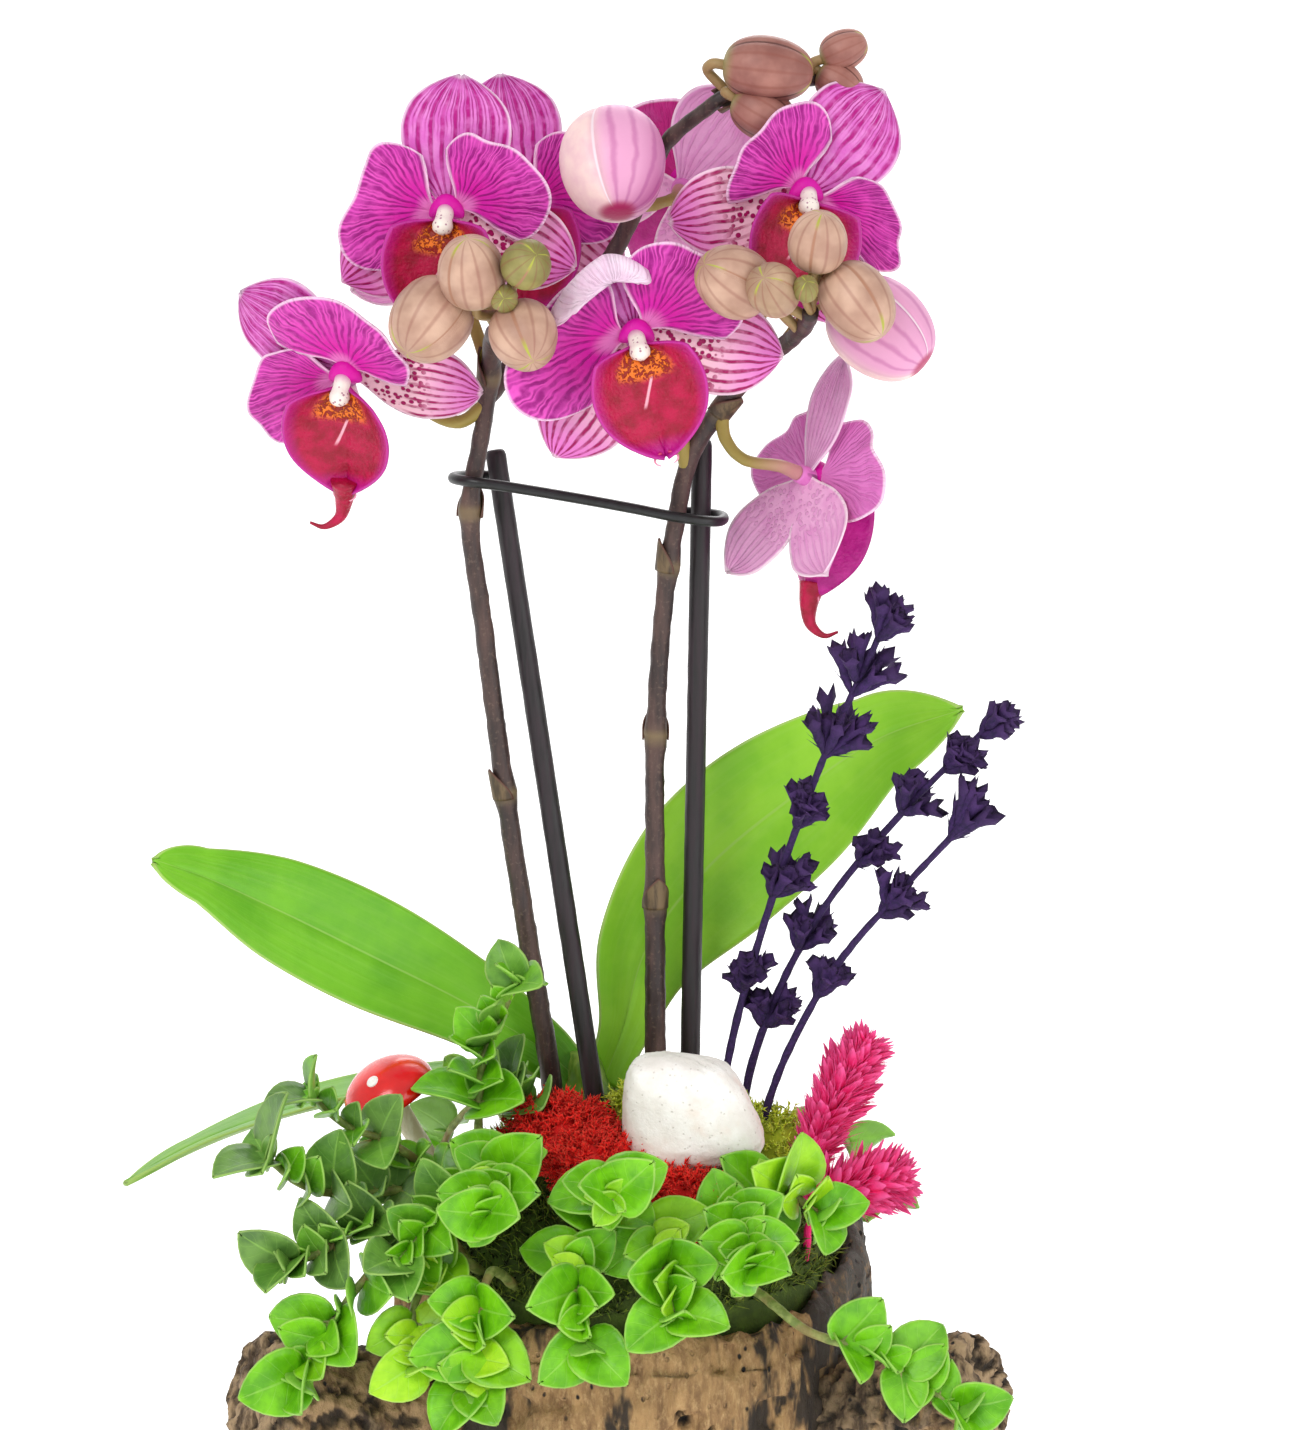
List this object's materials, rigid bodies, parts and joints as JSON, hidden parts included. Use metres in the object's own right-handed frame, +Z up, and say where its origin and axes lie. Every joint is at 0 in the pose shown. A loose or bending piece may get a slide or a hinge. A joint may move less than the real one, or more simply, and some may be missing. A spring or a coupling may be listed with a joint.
{
  "type": "moth orchid in a driftwood-look planter",
  "caption": "Small pink moth orchid on dark stems tied to stakes, planted with leafy creeper, dyed moss, dried lavender, a pebble and a toy mushroom in a low log-shaped planter with two stubs.",
  "frame": {"origin": "middle of the planter's flat foot, on the surface it stands on", "axes": "+Z up, +X to the right as seen in the picture, +Y away from the viewer"},
  "size_m": [0.1891, 0.1366, 0.361],
  "materials": {
    "driftwood": "matt, tan and brown like weathered wood, with charred dark grey patches and small worm holes",
    "soil": "dark crumbly soil",
    "moss": "dark green moss",
    "red_moss": "moss dyed bright red",
    "lime_moss": "lime green moss",
    "pebble": "smooth matt warm white",
    "mushroom_cap": "glossy red with one white dot",
    "mushroom_stem": "matt cream",
    "stake": "dark aubergine stain",
    "clip": "black coated wire",
    "orchid_leaf": "smooth waxy green with a pale midrib",
    "flower_stem": "dark purplish brown with tan sheaths at the joints, buds beige pink",
    "opening_bud": "pale pink with fine ribs",
    "petal": "magenta with darker veins, a paler rim and a thin white edge; backs pale pink",
    "lip": "crimson to magenta, orange at the throat",
    "lavender": "dried dark violet",
    "dyed_grass": "dyed hot pink",
    "creeper_leaf": "smooth bright green with a pale edge"
  },
  "bodies": {
    "root": {"clip": "clip", "creeper_back_far": "creeper_leaf", "creeper_back_left": "creeper_leaf", "creeper_back_middle": "creeper_leaf", "creeper_back_right": "creeper_leaf", "creeper_by_mushroom": "creeper_leaf", "creeper_centre_hanging": "creeper_leaf", "creeper_far_left": "creeper_leaf", "creeper_front": "creeper_leaf", "creeper_front_left": "creeper_leaf", "creeper_front_right": "creeper_leaf", "creeper_left": "creeper_leaf", "creeper_left_hanging": "creeper_leaf", "creeper_lime": "creeper_leaf", "creeper_low_front": "creeper_leaf", "creeper_right": "creeper_leaf", "creeper_shoot": "creeper_leaf", "creeper_trailing": "creeper_leaf", "creeper_under_front": "creeper_leaf", "creeper_upper_left": "creeper_leaf", "grass_head_low": "dyed_grass", "grass_head_tall": "dyed_grass", "lavender_long": "lavender", "lavender_short": "lavender", "lavender_tall": "lavender", "leaf_left": "orchid_leaf", "leaf_low": "orchid_leaf", "leaf_right": "orchid_leaf", "lip_back_left": "lip", "lip_back_top": "lip", "lip_behind_left": "lip", "lip_centre": "lip", "lip_front_left": "lip", "lip_front_right": "lip", "lip_hanging": "lip", "lip_low_left": "lip", "moss_bed": "moss", "moss_lime": "lime_moss", "moss_red": "red_moss", "mushroom_cap": "mushroom_cap", "mushroom_stem": "mushroom_stem", "opening_bud_right": "opening_bud", "opening_bud_top": "opening_bud", "orchid_crown": "orchid_leaf", "pebble": "pebble", "planter": "driftwood", "soil": "soil", "spike_left": "flower_stem", "spike_right": "flower_stem", "stake_left": "stake", "stake_right": "stake", "tepals_back_left": "petal", "tepals_back_top": "petal", "tepals_behind_left": "petal", "tepals_centre": "petal", "tepals_front_left": "petal", "tepals_front_right": "petal", "tepals_hanging": "petal", "tepals_low_left": "petal"}
  },
  "joints": []
}
